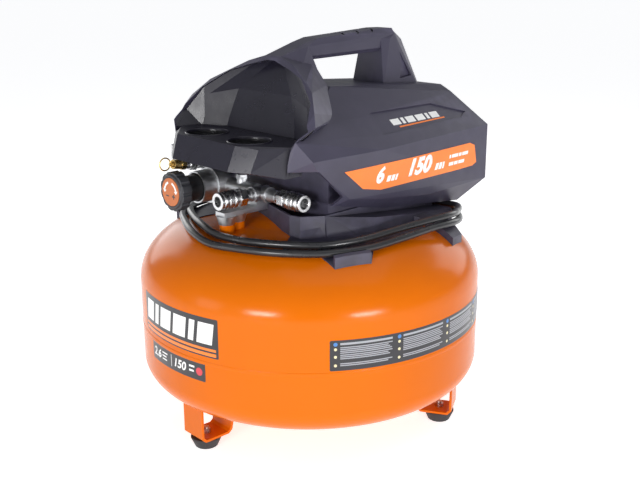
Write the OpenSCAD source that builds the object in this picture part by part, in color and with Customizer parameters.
// Portable pancake air compressor: low round air tank on three strap legs, oil-free pump
// under a faceted plastic shroud with a carrying handle, twin gauges, regulator and two couplers.
// Millimetres. Z is up, the floor is z = 0, the tank axis is x = y = 0, the controls face -Y.

/* [Tank] */
// outer radius of the tank wall
tank_r = 204; // [190:1:215]
// wall thickness of the two pressed shells
tank_wall = 2; // [1.5:0.1:3]
// height of the flat-bottom tangent plane above the floor
tank_z0 = 48.8; // [40:0.2:60]
// height at which the top shoulder ends and the crown starts
tank_z1 = 251.5; // [240:0.5:262]
// horizontal half-axis of the top shoulder curve
shoulder_rx = 110.5; // [80:0.5:125]
// vertical half-axis of the top shoulder curve
shoulder_rz = 71; // [50:0.5:80]
// horizontal half-axis of the bottom knuckle curve
knuckle_rx = 47; // [30:0.5:60]
// vertical half-axis of the bottom knuckle curve
knuckle_rz = 35.6; // [25:0.1:45]
// rise of the crown at the middle of the top
crown_rise = 12; // [6:0.5:16]
// fall of the belly at the middle of the bottom
belly_fall = 10; // [5:0.5:14]
// height of the girth weld
seam_z = 128; // [110:1:160]

/* [Legs and feet] */
// radius of the circle through the foot centres
foot_circle_r = 165; // [150:0.5:180]
// width of the leg strap
leg_width = 35; // [25:0.5:45]
// thickness of the leg strap
leg_gauge = 3; // [2:0.1:5]
// height of a rubber foot
foot_h = 13; // [8:0.5:20]
// upper radius of a rubber foot
foot_r_top = 18; // [12:0.5:22]
// lower radius of a rubber foot
foot_r_bottom = 13; // [9:0.5:18]

/* [Air fittings] */
// height of the manifold centre line
air_z = 288; // [280:0.5:296]
// sideways place of the front coupler line
front_line_x = 6.5; // [0:0.5:14]
// depth place of the side coupler line
side_line_y = -80; // [-90:0.5:-70]
// sideways place of the regulator line
reg_x = -68; // [-76:0.5:-60]
// radius of a coupler bore
coupler_bore_r = 5.9; // [5:0.1:6.5]
// outer radius of a coupler sleeve
sleeve_r = 10.4; // [10:0.1:12]
// outer radius of the regulator knob
knob_r = 23; // [18:0.5:26]

/* [Gauges] */
// sideways distance of each gauge from the middle
gauge_x = 37.5; // [34:0.5:42]
// depth place of the gauges
gauge_y = -119.5; // [-124:0.5:-112]
// height of the ledge the gauges sit in
ledge_z = 357; // [352:0.5:362]
// radius of the gauge opening in the ledge
gauge_hole_r = 25; // [20:0.5:28]

/* [Power cord] */
// diameter of the cord jacket
cord_d = 8.4; // [6:0.2:9]

/* [Output] */
// smoothness of round parts
facets = 96; // [48:8:160]

/* [Hidden] */
$fn = facets;
in_r = tank_r - shoulder_rx;
bot_r = tank_r - knuckle_rx;
neck_color = [0.09, 0.09, 0.10];
orange = [0.95, 0.42, 0.05];
silver = [0.74, 0.75, 0.77];
brass = [0.80, 0.63, 0.30];
leg_th = [0, 120, 240];

// places of the pump inside the shroud
shaft_z = 318;
crank_y = 18;
crank_throw = 9;
rod_len = 45;

// shroud corner points, right half: [x, y, z]
body_pts = [
  [107, -116, 363], [98, -120, 347], [98, -119, 331.5], [118, -102.5, 342.4],
  [117, -95, 331.5], [85, -47, 376], [46, -8, 405], [46, 150, 394],
  [40, 191, 390], [65, 180, 384.6], [107, 203, 345.4], [50, 204, 344],
  [119, 3, 342], [110, -41, 292], [107, 12, 283], [104, 97, 273],
  [107, 203, 278], [50, 204, 277], [103, -60, 286.5], [95, 30, 267],
  [88, 172, 250.5], [50, 190, 248]
];
body_in = [
  [103, -110, 362], [94, -113, 331], [114, -98, 341], [113, -90, 331],
  [82, -44, 372], [44, -4, 400.5], [44, 148, 389.5], [38, 187, 386],
  [62, 176, 381], [103.5, 199.5, 344], [49, 200.5, 343], [115.5, 3, 340.5],
  [106.5, -40, 293], [103.5, 12, 284], [100.5, 97, 274], [103.5, 199.5, 279],
  [49, 200.5, 279], [99.5, -58, 286], [91.5, 30, 266], [84.5, 170, 249],
  [49, 186.5, 246]
];
// front arch of the shroud that carries the handle
limb_pts = [
  [107, -116, 363], [113, -94, 376.5], [106, -89, 390], [88, -75.5, 408],
  [70, -67, 417.4], [38, -57, 432], [13, -53, 439], [17, -8, 430],
  [42, -10, 406.6], [73, -25, 377.5], [85, -47, 375.5], [70, -20, 372]
];
// scooped wall behind the gauges, left half of each row from the top down
scoop_half = [
  [[-62, -65, 419.5], [-36, -54, 427.5], [-7, -45, 434.5]],
  [[-94, -81, 399], [-86, -79, 392], [-46, -67, 400]],
  [[-110, -96, 373], [-91, -84, 366], [-58, -73, 366]],
  [[-102, -117, 356], [-92, -87, 354], [-60, -76, 353]],
  [[-95, -118, 326], [-92, -92, 326], [-58, -78, 326]]
];
// ledge and apron of the control panel, right half
apron_pts = [
  [51.3, -150.5, 357.2], [73.7, -137.5, 354.3], [82, -112, 356.5], [96, -112, 356.5],
  [95, -89, 356], [60, -78, 356.5], [49.1, -159.9, 330.8], [70.3, -146.5, 330.2],
  [92, -117, 323], [91, -94, 323], [58, -81, 324]
];
apron_in = [
  [49, -146.5, 354], [71, -135.5, 351.5], [79, -110, 353.5], [92, -108, 353.5],
  [91, -92, 353], [59, -84, 353.5], [47.5, -157, 329], [67.5, -143, 328],
  [88.5, -114, 320], [88, -98, 320], [57, -84, 320], [47, -154, 318]
];
// plan of the pump cover base, outer and inner
base_plan = [
  [93, -62], [91, 14], [86, 112], [68, 136], [-68, 136], [-86, 112],
  [-91, 14], [-93, -42], [-62, -49], [-15, -64], [65, -89], [78, -85]
];
base_plan_in = [
  [90, -60], [88, 14], [83, 111], [66, 133], [-66, 133], [-83, 111],
  [-88, 14], [-90, -40], [-61, -46], [-14, -61], [64, -85.5], [76, -82]
];
// outer radius of the tray under the cord
tray_r = 142;
// flared side of the base that the cord is wound round, outer and inner, right half
skirt_pts = [
  [92, -60, 272.6], [115, -5, 266.2], [115, 60, 258.6], [109, 110, 252.7], [103, 143, 249],
  [78, 140, 249.5], [78, -44, 270.8], [101, -66, 240], [121, -17, 240], [120, 34, 240],
  [115, 80, 236], [108, 112, 228], [103, 146, 220], [78, 143, 220], [78, -60, 240]
];
skirt_in = [
  [89, -56, 269.5], [111.8, -4.5, 263.2], [111.8, 60, 255.6], [106, 109, 249.7], [100.2, 140, 246],
  [70, 137, 246.6], [70, -44, 268], [98, -62.5, 236], [117.8, -16, 236], [116.8, 34, 236],
  [112, 79, 232], [105, 110, 224], [100.2, 143, 216], [70, 140, 216], [70, -58, 236]
];
// plan of the wall that rises into the shroud, outer and inner
neck_plan = [
  [90, -54], [87, 14], [84, 128], [78, 136], [-78, 136], [-84, 128],
  [-87, 14], [-90, -42], [-60, -49], [60, -54]
];
neck_plan_in = [
  [87, -51], [84, 13], [81, 127], [76, 133], [-76, 133], [-81, 127],
  [-84, 13], [-87, -40], [-59, -46], [59, -51]
];
// front part of that wall, which screens the pump behind the air fittings
screen_plan = [[90, -54], [88, 0], [-88, 0], [-90, -42], [-60, -49], [60, -54]];
screen_plan_in = [[87, -51], [85, 10], [-85, 10], [-87, -40], [-59, -46], [59, -51]];
// tray that lies on the tank under the cord, right half
tray_plan = concat([[82, 20], [80, -60], [66, -88]],
  [for (a = [36:8:116]) [tray_r * sin(a), -tray_r * cos(a)]]);
// thickness of the tray and of the front cord hooks
tray_t = 1.2;
// corner of the wall that flares out over the tank at the right of the front coupler
flare_pts = [
  [65, -86, 258], [77, -83, 262], [91, -61, 266], [68, -95, 240],
  [86, -92, 240], [100, -66, 240], [80, -60, 240], [66, -80, 240]
];
// plan of a front cord hook and of its raised lip, right half
front_ear = [
  [96, -62], [96, -30], [104, -30], [147, -42],
  [158, -56], [142, -94.5], [119, -95], [100, -84]
];
front_lip = [[158, -56], [142, -94.5], [138.3, -93], [154.3, -54.5]];
// plan of a rear cord hook, right half, and its thickness
rear_ear = [[98, 46], [95, 112], [128, 116], [150.6, 104.3], [162, 74], [134, 72]];
rear_ear_t = 8;
lip_t = 11;
// rubber pads under the pump plate: [x, y]
pads = [[-46, 4], [46, 8], [-46, 118], [46, 118]];
// sunk name panel on the side slope, upper row then lower row
name_grid = [
  [[82.8, 17.5, 376.7], [77.7, 127.1, 376.1], [89.9, 179.2, 362.2]],
  [[107.4, 14.5, 355.3], [101.6, 94, 356.3], [95.7, 164.5, 357.7]]
];
// air posts welded into the tank top: [x, y]
posts = [[1, -126], [-3, -108]];
// where the cord leaves the rear of the base
cord_x = 24;
cord_z = 261;
// power cord route, angle from the front, radius, height
cord_route = [
  [169.88, 136.62, 261], [170.41, 144.01, 261], [170.85, 150.92, 261], [172.51, 157.34, 260.5],
  [175.75, 161.95, 259.5], [180, 163, 258], [188, 161, 255.5], [196, 160.3, 252], [207, 176.1, 248.3],
  [218, 188, 248.5], [228.9, 182.9, 250.6], [240.9, 167.7, 253.9], [256, 151, 251.7], [272, 146, 251],
  [292, 148, 251], [310, 146, 251], [330, 138, 252], [348, 138, 252], [2, 143, 251], [18, 145, 251],
  [36, 144, 251], [54, 146, 251], [72, 142, 253], [90, 140, 255.5], [108, 152, 257.5],
  [122.1, 170.8, 257.6], [135, 178, 252.1], [146, 185, 249.1], [154, 176, 247], [164, 160, 245.5],
  [178, 150.2, 246.9], [194, 153, 245.5], [205.1, 167.5, 241.2], [216, 184.9, 239.5],
  [228, 183.9, 240.2], [240.1, 173.5, 246.2], [256, 157.3, 245.5], [272, 154, 245],
  [292, 155.7, 245.9], [310, 155.1, 245.6], [330, 148.8, 247.6], [348, 152, 246.8], [4, 157, 244.5],
  [20, 155.4, 245], [37, 155.1, 244.7], [55, 156.7, 245.2], [72, 154.5, 246.5], [90, 151, 248.6],
  [108, 158, 249.9], [122.9, 174.7, 248.4], [136, 181, 242.9], [148, 185, 239.8], [160, 186.5, 238.5],
  [170, 187, 238]
];

function mir(p) = concat(p, [for (q = p) [-q[0], q[1], q[2]]]);
function at(i, j, nc) = i * nc + j;
// elliptical quarter from angle a to b about a centre
function arc(cx, cz, rx, rz, a, b, n) =
  [for (i = [0:n]) [cx + rx * cos(a + (b - a) * i / n), cz + rz * sin(a + (b - a) * i / n)]];
// outline of the tank top, lifted by d, from the rim inwards
function top_line(d, n) = concat(
  arc(in_r, tank_z1 - shoulder_rz, shoulder_rx + d, shoulder_rz + d, 0, 90, n),
  [for (i = [1:4]) [in_r * (1 - i / 4), tank_z1 + d + crown_rise * (1 - pow(1 - i / 4, 2))]]);
// outline of the tank bottom, lifted by d, from the rim inwards
function low_line(d, n) = concat(
  arc(bot_r, tank_z0 + knuckle_rz, knuckle_rx + d, knuckle_rz + d, 0, -90, n),
  [for (i = [1:4]) [bot_r * (1 - i / 4), tank_z0 - d - belly_fall * (1 - pow(1 - i / 4, 2))]]);

// closed skin between two equal grids of points (rows by columns)
module skin(a, b) {
  nr = len(a);
  nc = len(a[0]);
  n = nr * nc;
  pts = concat([for (r = a) each r], [for (r = b) each r]);
  front = [for (i = [0:nr - 2]) for (j = [0:nc - 2])
    each [[at(i, j, nc), at(i, j + 1, nc), at(i + 1, j + 1, nc)],
          [at(i, j, nc), at(i + 1, j + 1, nc), at(i + 1, j, nc)]]];
  back = [for (f = front) [f[2] + n, f[1] + n, f[0] + n]];
  loop = concat([for (j = [0:nc - 2]) at(0, j, nc)], [for (i = [0:nr - 2]) at(i, nc - 1, nc)],
    [for (j = [nc - 1:-1:1]) at(nr - 1, j, nc)], [for (i = [nr - 1:-1:1]) at(i, 0, nc)]);
  m = len(loop);
  side = [for (k = [0:m - 1])
    each [[loop[(k + 1) % m], loop[k], loop[k] + n],
          [loop[(k + 1) % m], loop[k] + n, loop[(k + 1) % m] + n]]];
  polyhedron(points = pts, faces = concat(front, back, side));
}

// cylinder along -Y from y0 forward by len
module fwd(x, y0, z, r, len, rr = -1) {
  translate([x, y0, z]) rotate([90, 0, 0]) cylinder(r1 = r, r2 = rr < 0 ? r : rr, h = len);
}
module side(x0, y, z, r, len, rr = -1) {
  translate([x0, y, z]) rotate([0, 90, 0]) cylinder(r1 = r, r2 = rr < 0 ? r : rr, h = len);
}
module up(x, y, z, r, len, rr = -1) {
  translate([x, y, z]) cylinder(r1 = r, r2 = rr < 0 ? r : rr, h = len);
}
module hex(r, len) {
  cylinder(r = r, h = len, $fn = 6);
}

// ---------------- tank ----------------
module tank_top() {
  color(orange) difference() {
    rotate_extrude() polygon(concat([[tank_r - tank_wall, seam_z + 0.6], [tank_r, seam_z + 0.6]],
      top_line(0, 24), [for (i = [len(top_line(0, 24)) - 1:-1:0]) top_line(-tank_wall, 24)[i]]));
    for (p = posts) up(p[0], p[1], 225, 5.4, 50);
    up(46, -16, 240, 6.2, 40);
  }
}
module tank_bottom() {
  color(orange) difference() {
    rotate_extrude() polygon(concat([[tank_r - tank_wall, seam_z - 0.6], [tank_r, seam_z - 0.6]],
      low_line(0, 20), [for (i = [len(low_line(0, 20)) - 1:-1:0]) low_line(-tank_wall, 20)[i]]));
    up(0, 0, 30, 8, 20);
  }
}
module tank_weld() {
  color(orange) rotate_extrude() polygon([[tank_r - 3.4, seam_z - 5], [tank_r - 2, seam_z - 5],
    [tank_r - 2, seam_z - 0.6], [tank_r, seam_z - 0.6], [tank_r + 0.7, seam_z - 0.3],
    [tank_r + 0.7, seam_z + 0.3], [tank_r, seam_z + 0.6], [tank_r - 2, seam_z + 0.6],
    [tank_r - 2, seam_z + 5], [tank_r - 3.4, seam_z + 5]]);
}
module strap() {
  g = leg_gauge;
  o = foot_circle_r + 18;
  i = foot_circle_r - 24;
  rotate([90, 0, 90]) translate([0, 0, -leg_width / 2]) linear_extrude(leg_width) polygon([
    [-o, 66], [-o, foot_h + 5], [-o + 5, foot_h], [-i - 4, foot_h], [-i + 1, foot_h + 4],
    [-i + 9, 50], [-i + 9 - g, 50], [-i + 1 - g, foot_h + 5.5], [-i - 4 - g / 2, foot_h + g],
    [-o + 5 + g / 2, foot_h + g], [-o + g, foot_h + 5 + g / 2], [-o + g, 66]]);
}
module leg(th) {
  color(orange) difference() {
    rotate([0, 0, th]) difference() {
      strap();
      up(0, -foot_circle_r, foot_h - 2, 3.4, 9);
    }
    rotate_extrude() polygon(concat([[0, seam_z], [tank_r, seam_z]], low_line(0, 20)));
  }
}
module foot(th) {
  color([0.07, 0.07, 0.07]) rotate([0, 0, th]) translate([0, -foot_circle_r, 0]) difference() {
    union() {
      cylinder(r1 = foot_r_bottom, r2 = foot_r_top, h = foot_h - 2);
      translate([0, 0, foot_h - 2]) cylinder(r = foot_r_top, h = 2);
    }
    translate([0, 0, -1]) cylinder(r = 6.5, h = 7);
    translate([0, 0, 3]) cylinder(r = 3.2, h = 20);
  }
}
module leg_front() { leg(0); }
module leg_right() { leg(120); }
module leg_left() { leg(240); }
module foot_front() { foot(0); }
module foot_right() { foot(120); }
module foot_left() { foot(240); }
module foot_screws() {
  color(silver) for (th = leg_th) rotate([0, 0, th]) translate([0, -foot_circle_r, 0]) {
    translate([0, 0, 2.6]) cylinder(r = 5.6, h = 3.4);
    translate([0, 0, 5]) cylinder(r = 3.1, h = 18);
    translate([0, 0, foot_h + leg_gauge]) hex(5.6, 4.6);
  }
}
module drain_body() {
  color(brass) difference() {
    union() {
      up(0, 0, 27, 7.9, 14);
      up(0, 0, 24, 11, 6);
      fwd(0, 0, 27, 7, 30);
      translate([0, -22, 27]) rotate([90, 0, 0]) hex(8.6, 6);
    }
    up(0, 0, 26, 3, 20);
    fwd(0, 3, 27, 3.2, 60);
  }
}
module drain_handle() {
  color(brass) {
    fwd(0, -6, 27, 3.14, 36);
    difference() {
      translate([-11, -41.5, 24.2]) cube([22, 4, 5.6]);
      for (s = [-1, 1]) translate([s * 8.4, -30, 27]) rotate([90, 0, 0]) cylinder(r = 1.3, h = 20);
    }
    fwd(0, -30.4, 27, 5, 12);
  }
}
module air_posts() {
  color(orange) for (p = posts) difference() {
    up(p[0], p[1], 235, 8.2, 24);
    up(p[0], p[1], 230, 5.2, 40);
    rotate_extrude() polygon(concat([[0, 100], [tank_r, 100]], top_line(0, 24)));
  }
}

// ---------------- shroud ----------------
function both(g) = [for (r = g) concat(r, [for (i = [len(r) - 1:-1:0]) [-r[i][0], r[i][1], r[i][2]]])];
function push(g, v) = [for (r = g) [for (p = r) p + v]];
function grow(g, s) = [for (r = g) [for (p = r) [p[0] * s, p[1], p[2]]]];
module corners(p) {
  polyhedron(points = p, faces = [[for (i = [0:len(p) - 1]) i]]);
}
module across(pts, d) {
  rotate([90, 0, 90]) translate([0, 0, -d]) linear_extrude(2 * d) polygon(pts);
}
module grip_shape() {
  hull() corners(mir([[11, -14, 451.6], [16, -14, 448], [17, -14, 437], [13, -14, 432.5],
    [12, 128, 461.4], [17, 128, 455], [17, 128, 440], [13, 128, 435.5], [12, 108, 461.8], [12, 4, 455.8]]));
  hull() corners(mir([[12, 126, 461.4], [17, 128, 455], [14, 143, 447.5], [18, 104, 436],
    [17, 104, 450], [27, 99, 390], [27, 110, 388], [26, 164, 388], [20, 173, 386], [19, 118, 450]]));
  hull() corners(mir([[11, -14, 451.6], [16, -14, 448], [17, -10, 434], [14, -8, 431.4], [11, -28, 446.6],
    [15, -31, 443], [13, -53, 439], [20, -14, 428], [30, -40, 420], [30, -8, 413]]));
}
module shroud() {
  color(neck_color) difference() {
    union() {
      hull() corners(mir(body_pts));
      hull() corners(mir(limb_pts));
      grip_shape();
    }
    hull() corners(mir(body_in));
    translate([0, 0, 200]) linear_extrude(88) polygon([[99, -56], [91.5, 30], [84.5, 169], [49, 186],
      [-49, 186], [-84.5, 169], [-91.5, 30], [-99, -56]]);
    // front opening swept forward from the scooped wall
    skin(push(both(scoop_half), [0, -180, 0]), push(both(scoop_half), [0, 3.4, 0]));
    // lower front notch for the air fittings
    across([[-260, 331.5], [-93, 331.5], [-51, 296.5], [-61, 286.3], [-61, 180], [-260, 180]], 150);
    // sloping lower rim
    across([[-70, 288.3], [30, 267.2], [172, 250.7], [230, 243], [230, 180], [-70, 180]], 150);
    // name panel recess on both side slopes
    for (s = [-1, 1]) scale([s, 1, 1])
      skin(push(name_grid, [4.5, 0.4, 5.3]), push(name_grid, [-1.1, -0.1, -1.2]));
    // hole for the on/off lever shaft
    side(-130, -117, 330, 4.8, 50);
    // flank pockets of the rear handle post
    for (s = [-1, 1]) translate([s * 23, 0, 0]) across([[134, 433], [152, 403], [131, 401]], 3);
    // grip grooves
    for (k = [0:2]) translate([0, 44 + 24 * k, 457 + 0.75 * k]) rotate([1.6, 0, 0])
      linear_extrude(8) polygon([[-14, -2], [0, 8], [14, -2], [14, 1.5], [0, 11.5], [-14, 1.5]]);
  }
}
module control_panel() {
  color([0.03, 0.03, 0.035]) difference() {
    union() {
      skin(grow(both(scoop_half), 0.985), push(grow(both(scoop_half), 0.985), [0, 3, 0]));
      difference() {
        hull() corners(mir(apron_pts));
        hull() corners(mir(apron_in));
      }
    }
    for (s = [-1, 1]) up(s * gauge_x, gauge_y, ledge_z - 12, gauge_hole_r, 20);
    side(-112, -117, 330, 4.6, 30);
  }
}
module shroud_base() {
  color(neck_color) difference() {
    union() {
      difference() {
        translate([0, 0, 236]) linear_extrude(38) polygon(base_plan);
        translate([0, 0, 230]) linear_extrude(50) polygon(base_plan_in);
      }
      difference() {
        translate([0, 0, 236]) linear_extrude(64) polygon(neck_plan);
        translate([0, 0, 230]) linear_extrude(80) polygon(neck_plan_in);
      }
      difference() {
        translate([0, 0, 290]) linear_extrude(40) polygon(screen_plan);
        translate([0, 0, 280]) linear_extrude(60) polygon(screen_plan_in);
      }
      for (s = [-1, 1]) scale([s, 1, 1]) difference() {
        hull() corners(skirt_pts);
        hull() corners(skirt_in);
      }
      for (s = [-1, 1]) scale([s, 1, 1]) {
        ear(tray_t, tray_plan);
        ear(tray_t, front_ear);
        ear(lip_t, front_lip);
        ear(rear_ear_t, rear_ear);
      }
      hull() corners(flare_pts);
    }
    tank_skin(0.2);
    for (p = posts) up(p[0], p[1], 225, 12, 50);
    fwd(cord_x, 142, cord_z, 6.9, 14);
  }
}
module tank_skin(d) {
  rotate_extrude() polygon(concat([[0, 150], [tank_r + d, 150]], top_line(d, 24)));
}
// cord hook that lies on the tank, d thick over a plan outline
module ear(d, plan) {
  intersection() {
    tank_skin(d);
    translate([0, 0, 205]) linear_extrude(75) polygon(plan);
  }
}

// ---------------- gauges ----------------
module gauge_case(s) {
  color([0.05, 0.05, 0.06]) difference() {
    union() {
      up(s * gauge_x, gauge_y, ledge_z - 18, gauge_hole_r - 0.5, 16.5);
      up(s * gauge_x, gauge_y, ledge_z - 30, 6, 13);
    }
    up(s * gauge_x, gauge_y, ledge_z - 16, gauge_hole_r - 2.2, 20);
    up(s * gauge_x, gauge_y, ledge_z - 31, 2, 8);
  }
}
module gauge_dial(s) {
  color([0.92, 0.92, 0.9]) difference() {
    up(s * gauge_x, gauge_y, ledge_z - 15.6, gauge_hole_r - 2.5, 1.2);
    up(s * gauge_x, gauge_y, ledge_z - 17, 1.6, 5);
  }
}
module gauge_needle(s) {
  color([0.75, 0.08, 0.05]) translate([s * gauge_x, gauge_y, ledge_z - 13.6]) {
    cylinder(r = 2.6, h = 2);
    translate([0, 0, -2]) cylinder(r = 1.3, h = 2.4);
    translate([0, 0, 0.6]) rotate([0, 0, 225]) linear_extrude(0.7)
      polygon([[-7, -1.1], [-7, 1.1], [16, 0.7], [19.5, 0], [16, -0.7]]);
  }
}
module gauge_lens(s) {
  color([0.8, 0.9, 1, 0.35]) up(s * gauge_x, gauge_y, ledge_z - 9, gauge_hole_r - 2.5, 1.5);
}
module gauge_case_left() { gauge_case(-1); }
module gauge_case_right() { gauge_case(1); }
module gauge_dial_left() { gauge_dial(-1); }
module gauge_dial_right() { gauge_dial(1); }
module gauge_needle_left() { gauge_needle(-1); }
module gauge_needle_right() { gauge_needle(1); }
module gauge_lens_left() { gauge_lens(-1); }
module gauge_lens_right() { gauge_lens(1); }

// ---------------- air fittings ----------------
module manifold() {
  color(silver) difference() {
    union() {
      side(reg_x, side_line_y, air_z, 9.5, front_line_x - reg_x - 6);
      fwd(reg_x, side_line_y + 16, air_z, 17, 21);
      fwd(reg_x, side_line_y + 1, air_z, 21.5, 19);
      fwd(reg_x, side_line_y - 17, air_z, 19.3, 20, 18.8);
      translate([-8, -134, 268]) cube([16, 60, 5.6]);
      translate([-8, -88, 268]) cube([16, 16, 14]);
      for (p = posts) up(p[0], p[1], 259, 8.6, 10, 11.4);
      up(reg_x - 11, -91, air_z + 12, 7, 18.5);
      up(-26, side_line_y, air_z + 6, 7, 7);
      translate([-26, side_line_y, air_z + 12]) hex(8, 5);
    }
    side(reg_x - 2, side_line_y, air_z, 4.5, front_line_x - reg_x + 8);
    fwd(reg_x, side_line_y - 1, air_z, 17, 40);
    fwd(reg_x, side_line_y + 8, air_z, 4, 30);
    for (p = posts) up(p[0], p[1], 250, 5.2, 19);
    fwd(front_line_x, side_line_y + 14, air_z, 7.9, 28);
    valve_axis() translate([0, 0, -4.2]) cylinder(r = 5.3, h = 24);
  }
}
module tee() {
  color(silver) difference() {
    union() {
      fwd(front_line_x, side_line_y + 10, air_z, 7.7, 28.8);
      fwd(front_line_x, side_line_y - 10, air_z, 9.2, 4);
      side(front_line_x, side_line_y, air_z, 7.2, 30);
      side(front_line_x + 11, side_line_y, air_z, 9.2, 4.5);
    }
    fwd(front_line_x, side_line_y + 2, air_z, 4, 30);
    side(front_line_x, side_line_y, air_z, 4, 36);
  }
}
// plug-in coupler along +Z, mouth at the far end
module coupler() {
  difference() {
    union() {
      cylinder(r = 6.6, h = 8);
      translate([0, 0, 6.4]) hex(10.4, 9.6);
      translate([0, 0, 15]) cylinder(r = 8, h = 27);
      translate([0, 0, 39.4]) cylinder(r = 9.6, h = 3.6);
    }
    translate([0, 0, -1]) cylinder(r = 3.4, h = 60);
    translate([0, 0, 22]) cylinder(r = coupler_bore_r, h = 40);
  }
}
module coupler_ring() {
  rotate_extrude() polygon([[8.4, 20], [sleeve_r - 0.8, 20], [sleeve_r, 20.8], [sleeve_r, 25],
    [sleeve_r - 0.7, 25.8], [sleeve_r - 0.7, 26.6], [sleeve_r, 27.4], [sleeve_r, 30],
    [sleeve_r - 0.7, 30.8], [sleeve_r - 0.7, 36], [sleeve_r - 1.3, 39], [8.4, 39]]);
}
module at_front() { translate([front_line_x, side_line_y - 18.8, air_z]) rotate([90, 0, 0]) children(); }
module at_side() { translate([front_line_x + 30, side_line_y, air_z]) rotate([0, 90, 0]) children(); }
module coupler_front() { color(silver) at_front() coupler(); }
module coupler_side() { color(silver) at_side() coupler(); }
module sleeve_front() { color(silver) at_front() coupler_ring(); }
module sleeve_side() { color(silver) at_side() coupler_ring(); }
module reg_bonnet() {
  color([0.06, 0.06, 0.07]) difference() {
    union() {
      fwd(reg_x, side_line_y - 18.2, air_z, 15.5, 39);
      fwd(reg_x, side_line_y - 5, air_z, 16.6, 14);
    }
    fwd(reg_x, side_line_y - 4, air_z, 12.5, 50);
    fwd(reg_x, side_line_y - 50, air_z, 5.2, 20);
  }
}
module reg_spring() {
  color(silver) difference() {
    fwd(reg_x, side_line_y - 7, air_z, 9, 38);
    fwd(reg_x, side_line_y - 6, air_z, 6.6, 42);
  }
}
module reg_diaphragm() {
  color([0.1, 0.1, 0.1]) fwd(reg_x, side_line_y - 2, air_z, 16, 2.4);
}
module reg_knob() {
  color([0.05, 0.05, 0.055]) translate([reg_x, -138, air_z]) rotate([90, 0, 0]) difference() {
    union() {
      linear_extrude(12) scallops();
      translate([0, 0, 12]) cylinder(r1 = knob_r - 2.4, r2 = knob_r - 4, h = 2);
      translate([0, 0, -16]) cylinder(r = 4.8, h = 17);
    }
    translate([0, 0, 13]) cylinder(r = 16.7, h = 2);
  }
}
module scallops() {
  difference() {
    circle(r = knob_r);
    for (a = [0:30:330]) rotate(a) translate([knob_r + 2.4, 0]) circle(r = 3.6, $fn = 32);
  }
}
module knob_cap() {
  color(orange) translate([reg_x, -151, air_z]) rotate([90, 0, 0]) cylinder(r = 16.4, h = 1.3);
}
module valve_axis() { translate([reg_x - 11, -98, air_z + 23]) rotate([82, 0, 0]) children(); }
module relief_adaptor() {
  color(silver) valve_axis() difference() {
    union() {
      translate([0, 0, -4]) cylinder(r = 5.2, h = 16);
      translate([0, 0, 11]) hex(7.4, 9);
      translate([0, 0, 19]) cylinder(r = 5.4, h = 7);
    }
    translate([0, 0, -6]) cylinder(r = 2.5, h = 40);
  }
}
module relief_body() {
  color(brass) valve_axis() difference() {
    union() {
      translate([0, 0, 26]) hex(6.8, 6);
      translate([0, 0, 31]) cylinder(r = 5.6, h = 11);
    }
    translate([0, 0, 25]) cylinder(r = 2.4, h = 20);
  }
}
module relief_pull() {
  color(brass) valve_axis() {
    translate([0, 0, 30]) cylinder(r = 1.9, h = 16.6);
    translate([0, 0, 42.6]) cylinder(r = 3.4, h = 2);
    translate([0, 0, 52.8]) rotate([0, 90, 0]) rotate_extrude() translate([7.2, 0]) circle(r = 0.9, $fn = 32);
  }
}
module switch_box() {
  color([0.12, 0.12, 0.13]) difference() {
    translate([-74, -126, 321]) cube([26, 18, 17]);
    side(-90, -117, 330, 4.4, 30);
  }
}
module switch_lever() {
  color([0.6, 0.6, 0.62]) {
    side(-105, -117, 330, 4, 38);
    translate([-109, -121.5, 316]) cube([4.2, 9, 18]);
  }
}

// ---------------- pump ----------------
module pump_plate() {
  color([0.2, 0.2, 0.21]) difference() {
    translate([-58, -8, 276]) cube([116, 139, 3]);
    for (p = pads) up(p[0], p[1], 270, 4.4, 12);
  }
}
module isolators() {
  color([0.06, 0.06, 0.06]) difference() {
    for (p = pads) {
      up(p[0], p[1], 240, 9, 35.8);
      up(p[0], p[1], 275, 4.2, 5);
      up(p[0], p[1], 279.2, 7, 3);
    }
    tank_skin(0.2);
  }
}
module crankcase() {
  color([0.62, 0.63, 0.65]) difference() {
    union() {
      fwd(0, crank_y + 14, shaft_z, 28, 30);
      translate([-30, crank_y - 14, 279.2]) cube([60, 26, 14]);
      up(0, crank_y - 2, shaft_z + 10, 27, 26);
    }
    fwd(0, crank_y + 9, shaft_z, 22, 40);
    fwd(0, crank_y + 40, shaft_z, 9.2, 60);
    up(0, crank_y - 2, shaft_z, 23.2, 60);
  }
}
module cylinder_sleeve() {
  color(silver) difference() {
    up(0, crank_y - 2, shaft_z + 26, 23, 32);
    up(0, crank_y - 2, shaft_z + 20, 20.4, 50);
  }
}
module valve_plate() {
  color([0.5, 0.5, 0.52]) difference() {
    up(0, crank_y - 2, shaft_z + 58.4, 27, 3);
    for (s = [-1, 1]) up(s * 9, crank_y - 2, shaft_z + 50, 3, 20);
  }
}
module cylinder_head() {
  color([0.62, 0.63, 0.65]) difference() {
    up(0, crank_y - 2, shaft_z + 61.6, 27, 15);
    up(-11, crank_y - 2, shaft_z + 60, 8, 10);
    up(11, crank_y - 2, shaft_z + 60, 8, 10);
    for (k = [-3:3]) translate([-40, crank_y - 2.7 + 7 * k, shaft_z + 72.5]) cube([80, 1.6, 20]);
    side(12, crank_y - 2, shaft_z + 67, 4, 30);
  }
}
module piston() {
  color([0.7, 0.7, 0.72]) difference() {
    up(0, crank_y - 2, shaft_z + 32, 20.2, 14);
    up(0, crank_y - 2, shaft_z + 30, 18.4, 13);
  }
}
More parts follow.
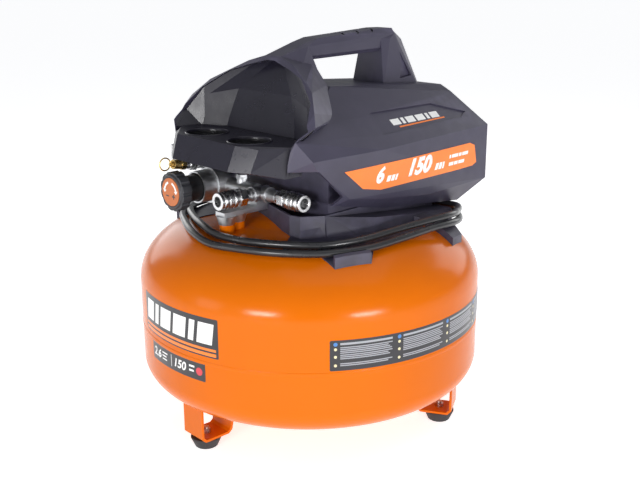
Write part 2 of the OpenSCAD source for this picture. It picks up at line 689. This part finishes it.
module connecting_rod() {
  color(silver) difference() {
    union() {
      fwd(0, crank_y + 1, shaft_z + crank_throw, 8, 6);
      translate([-4, crank_y - 4.5, shaft_z + crank_throw + 4]) cube([8, 5, rod_len - 18]);
      fwd(0, crank_y + 1, shaft_z + rod_len - 9, 5, 6);
    }
    fwd(0, crank_y + 4, shaft_z + crank_throw, 5.06, 12);
  }
}
module crank() {
  color([0.45, 0.45, 0.47]) difference() {
    union() {
      fwd(0, crank_y + 8, shaft_z, 19, 5.5);
      fwd(0, crank_y + 4, shaft_z + crank_throw, 5, 12);
    }
    fwd(0, crank_y + 20, shaft_z, 6, 14);
  }
}
module motor_shaft() {
  color([0.6, 0.6, 0.62]) {
    fwd(0, 153, shaft_z, 6, 128);
    fwd(0, 106, shaft_z, 21, 54);
    fwd(0, 122, shaft_z, 13, 12);
  }
}
module motor_stator() {
  color([0.28, 0.28, 0.3]) difference() {
    union() {
      fwd(0, 108, shaft_z, 35, 58);
      translate([-26, 54, 279.2]) cube([52, 50, 10]);
    }
    fwd(0, 115, shaft_z, 21.8, 80);
  }
}
module motor_mount_front() {
  color([0.62, 0.63, 0.65]) difference() {
    union() {
      fwd(0, 48, shaft_z, 34, 4);
      translate([-20, 44, 279.2]) cube([40, 4, 20]);
    }
    fwd(0, 60, shaft_z, 6.06, 30);
  }
}
module motor_mount_rear() {
  color([0.62, 0.63, 0.65]) difference() {
    union() {
      fwd(0, 130, shaft_z, 30, 4);
      for (a = [45, 135, 225, 315]) fwd(26 * cos(a), 128, shaft_z + 26 * sin(a), 3, 19.6);
      translate([-20, 126, 279.2]) cube([40, 4, 20]);
    }
    fwd(0, 150, shaft_z, 6.06, 30);
  }
}
module fan() {
  color([0.1, 0.1, 0.11]) difference() {
    union() {
      fwd(0, 151, shaft_z, 12, 12);
      for (a = [0:45:315]) translate([0, 145, shaft_z]) rotate([0, a, 0])
        translate([10, -5, -1]) cube([26, 10, 2]);
    }
    fwd(0, 160, shaft_z, 6, 30);
  }
}
module intake_filter() {
  color([0.08, 0.08, 0.09]) difference() {
    union() {
      up(-46, crank_y - 2, 362, 11, 21);
      side(-37, crank_y - 2, shaft_z + 67 - 4, 4, 9.8);
    }
    up(-46, crank_y - 2, 360, 8.6, 20);
    side(-40, crank_y - 2, shaft_z + 67 - 4, 2.4, 20);
  }
}
module check_valve() {
  color(brass) {
    up(46, -16, 244, 6, 22);
    translate([46, -16, 263]) hex(8.6, 8);
    up(46, -16, 270, 6, 10);
  }
}
module discharge_tube() {
  color([0.75, 0.45, 0.3]) {
    side(27.2, crank_y - 2, shaft_z + 67, 3.9, 18.8);
    translate([46, crank_y - 2, shaft_z + 67]) sphere(r = 3.9);
    fwd(46, crank_y - 2, shaft_z + 67, 3.9, 32);
    translate([46, -16, shaft_z + 67]) sphere(r = 3.9);
    up(46, -16, 280.2, 3.9, shaft_z + 67 - 280.2);
  }
}
module strain_relief() {
  color([0.05, 0.05, 0.05]) difference() {
    union() {
      fwd(cord_x, 139.2, cord_z, 8.4, 3);
      fwd(cord_x, 146, cord_z, 6.1, 15, 6.5);
    }
    fwd(cord_x, 160, cord_z, cord_d / 2 + 0.4, 40);
  }
}

// ---------------- cord ----------------
function pol(c) = [c[1] * sin(c[0]), -c[1] * cos(c[0]), c[2]];
// point on a smooth curve through the route
function cr(p0, p1, p2, p3, t) = 0.5 * ((2 * p1) + (p2 - p0) * t + (2 * p0 - 5 * p1 + 4 * p2 - p3) * t * t
  + (3 * p1 - p0 - 3 * p2 + p3) * t * t * t);
cord_pts0 = [for (c = cord_route) pol(c)];
nr0 = len(cord_pts0);
function cpt(i) = cord_pts0[max(0, min(nr0 - 1, i))];
// pieces the cord is divided into
cord_n = 78;
cord_pts = [for (k = [0:cord_n]) let (u = k * (nr0 - 1) / cord_n, i = min(nr0 - 2, floor(u)))
  cr(cpt(i - 1), cpt(i), cpt(i + 1), cpt(i + 2), u - i)];
function unit(v) = v / norm(v);
module tube(p, r, sides) {
  n = len(p);
  tan = [for (i = [0:n - 1]) unit(p[min(n - 1, i + 1)] - p[max(0, i - 1)])];
  ring = [for (i = [0:n - 1]) let (s = unit(cross(tan[i], [0, 0, 1])), u = cross(s, tan[i]))
    for (k = [0:sides - 1]) p[i] + r * (cos(360 * k / sides) * s + sin(360 * k / sides) * u)];
  wall = [for (i = [0:n - 2]) for (k = [0:sides - 1]) let (a = i * sides + k, b = i * sides + (k + 1) % sides)
    each [[a, b, b + sides], [a, b + sides, a + sides]]];
  cap0 = [for (k = [1:sides - 2]) [0, k + 1, k]];
  cap1 = [for (k = [1:sides - 2]) [(n - 1) * sides, (n - 1) * sides + k, (n - 1) * sides + k + 1]];
  polyhedron(points = ring, faces = concat(wall, cap0, cap1));
}
module power_cord() {
  color([0.03, 0.03, 0.03]) tube(cord_pts, cord_d / 2, 10);
}
plug_at = cord_pts[cord_n];
plug_dir = unit(plug_at - cord_pts[cord_n - 1]);
module cord_plug() {
  yaw = atan2(plug_dir[1], plug_dir[0]);
  color([0.04, 0.04, 0.04]) translate(plug_at) rotate([0, 0, yaw]) rotate([0, 90, 0]) {
    translate([0, 0, 0.3]) cylinder(r1 = 5.4, r2 = 7.6, h = 14);
    translate([-8, -9, 14]) cube([16, 18, 20]);
    for (s = [-1, 1]) translate([-1, s * 6.3 - 0.75, 33]) cube([6.3, 1.5, 18]);
    translate([-5, 0, 33]) cylinder(r = 2.4, h = 20);
  }
}
tank_top();
tank_bottom();
tank_weld();
leg_front();
leg_right();
leg_left();
foot_front();
foot_right();
foot_left();
foot_screws();
drain_body();
drain_handle();
air_posts();
shroud();
control_panel();
shroud_base();
gauge_case_left();
gauge_case_right();
gauge_dial_left();
gauge_dial_right();
gauge_needle_left();
gauge_needle_right();
gauge_lens_left();
gauge_lens_right();
manifold();
tee();
coupler_front();
coupler_side();
sleeve_front();
sleeve_side();
reg_bonnet();
reg_spring();
reg_diaphragm();
reg_knob();
knob_cap();
relief_adaptor();
relief_body();
relief_pull();
switch_box();
switch_lever();
pump_plate();
isolators();
crankcase();
cylinder_sleeve();
valve_plate();
cylinder_head();
piston();
connecting_rod();
crank();
motor_shaft();
motor_stator();
motor_mount_front();
motor_mount_rear();
fan();
intake_filter();
check_valve();
discharge_tube();
strain_relief();
power_cord();
cord_plug();
